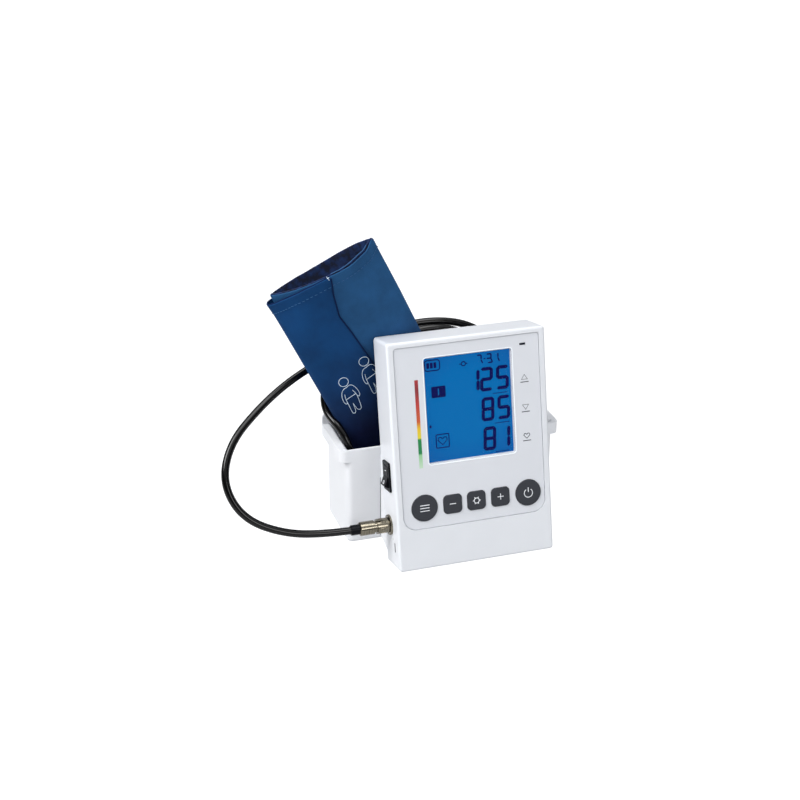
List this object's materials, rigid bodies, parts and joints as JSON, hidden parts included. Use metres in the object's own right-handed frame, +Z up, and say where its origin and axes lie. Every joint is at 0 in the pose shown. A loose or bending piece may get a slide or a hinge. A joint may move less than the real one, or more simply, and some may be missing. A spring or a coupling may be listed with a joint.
{
  "type": "wall-mounted blood pressure monitor",
  "caption": "Tilted digital blood pressure monitor on a wall basket that holds its rolled arm cuff and the air hose joining them.",
  "frame": {"origin": "middle of the four wall screws in the basket's back plate, on the plane of the wall", "axes": "+X along the wall to the right as seen from the room, +Y into the wall, +Z up"},
  "size_m": [0.3225, 0.1253, 0.2905],
  "materials": {
    "case_white": "satin",
    "basket_white": "fine satin",
    "fascia_grey": "fine grain",
    "window_clear": "polished",
    "lcd_blue": "lit from behind",
    "backlight_white": "diffuse",
    "scale_print": "printed colours",
    "dark_keys": "satin",
    "black_plastic": "satin",
    "grey_plastic": "plain",
    "lamp_clear": "clear",
    "board_green": "solder mask",
    "plated": "nickel plated",
    "bright_steel": "plain",
    "cell_wrap": "shrink wrap",
    "soft_rubber": "matt",
    "silicone": "translucent",
    "cuff_blue": "woven nylon",
    "cuff_dark": "brushed loop cloth",
    "bladder_rubber": "matt"
  },
  "bodies": {
    "station": {"front_housing": "case_white", "rear_housing": "case_white", "basket": "basket_white", "wedge_bracket": "basket_white", "fascia_panel": "fascia_grey", "display_window": "window_clear", "lcd_panel": "lcd_blue", "lcd_backlight": "backlight_white", "colour_scale": "scale_print", "rocker_frame": "black_plastic", "lcd_holder": "black_plastic", "key_switches": "black_plastic", "buzzer": "black_plastic", "battery_tray": "black_plastic", "hose_ferrule": "black_plastic", "cuff_port": "black_plastic", "air_manifold": "grey_plastic", "pump_head": "grey_plastic", "pressure_sensor": "grey_plastic", "status_light": "lamp_clear", "charge_lamp": "lamp_clear", "status_led": "lamp_clear", "main_board": "board_green", "air_socket": "plated", "coupler_body": "plated", "socket_nut": "plated", "case_screws": "bright_steel", "bracket_screws": "bright_steel", "basket_screws": "bright_steel", "board_screws": "bright_steel", "motor_can": "bright_steel", "valve_body": "bright_steel", "charging_socket": "bright_steel", "battery_pack": "cell_wrap", "pump_cradle": "soft_rubber", "air_hose": "soft_rubber", "socket_tube": "silicone", "pump_tube": "silicone", "cuff_cover": "cuff_blue", "cuff_flap": "cuff_blue", "cuff_lining": "cuff_dark", "cuff_bladder": "bladder_rubber"},
    "mode_key": {"mode_button": "dark_keys"},
    "minus_key": {"minus_button": "dark_keys"},
    "set_key": {"set_button": "dark_keys"},
    "plus_key": {"plus_button": "dark_keys"},
    "start_key": {"start_button": "dark_keys"},
    "power_rocker": {"rocker_paddle": "black_plastic"},
    "latch_sleeve": {"coupler_latch": "plated"},
    "rotor": {"pump_rotor": "bright_steel"},
    "plunger": {"valve_plunger": "plated"}
  },
  "joints": [
    {"name": "mode_press", "type": "slide", "parent": "station", "child": "mode_key", "axis": [0, 0.9781, -0.2079], "range_m": [0, 0.0012], "stiffness_N_per_m": 900},
    {"name": "minus_press", "type": "slide", "parent": "station", "child": "minus_key", "axis": [0, 0.9781, -0.2079], "range_m": [0, 0.0012], "stiffness_N_per_m": 900},
    {"name": "set_press", "type": "slide", "parent": "station", "child": "set_key", "axis": [0, 0.9781, -0.2079], "range_m": [0, 0.0012], "stiffness_N_per_m": 900},
    {"name": "plus_press", "type": "slide", "parent": "station", "child": "plus_key", "axis": [0, 0.9781, -0.2079], "range_m": [0, 0.0012], "stiffness_N_per_m": 900},
    {"name": "start_press", "type": "slide", "parent": "station", "child": "start_key", "axis": [0, 0.9781, -0.2079], "range_m": [0, 0.0012], "stiffness_N_per_m": 900},
    {"name": "power_rock", "type": "hinge", "parent": "station", "child": "power_rocker", "pos_m": [-0.0683, -0.08839, 0.02746], "axis": [0, -0.9781, 0.2079], "range_deg": [0, 22]},
    {"name": "latch_pull", "type": "slide", "parent": "station", "child": "latch_sleeve", "axis": [-1, 0, 0], "range_m": [0, 0.0024], "stiffness_N_per_m": 1500},
    {"name": "rotor_spin", "type": "hinge", "parent": "station", "child": "rotor", "pos_m": [0.051, -0.08574, 0.01106], "axis": [0, 0.2079, 0.9781], "continuous": true},
    {"name": "valve_lift", "type": "slide", "parent": "station", "child": "plunger", "axis": [0, 0.2079, 0.9781], "range_m": [0, 0.0015], "stiffness_N_per_m": 400}
  ]
}
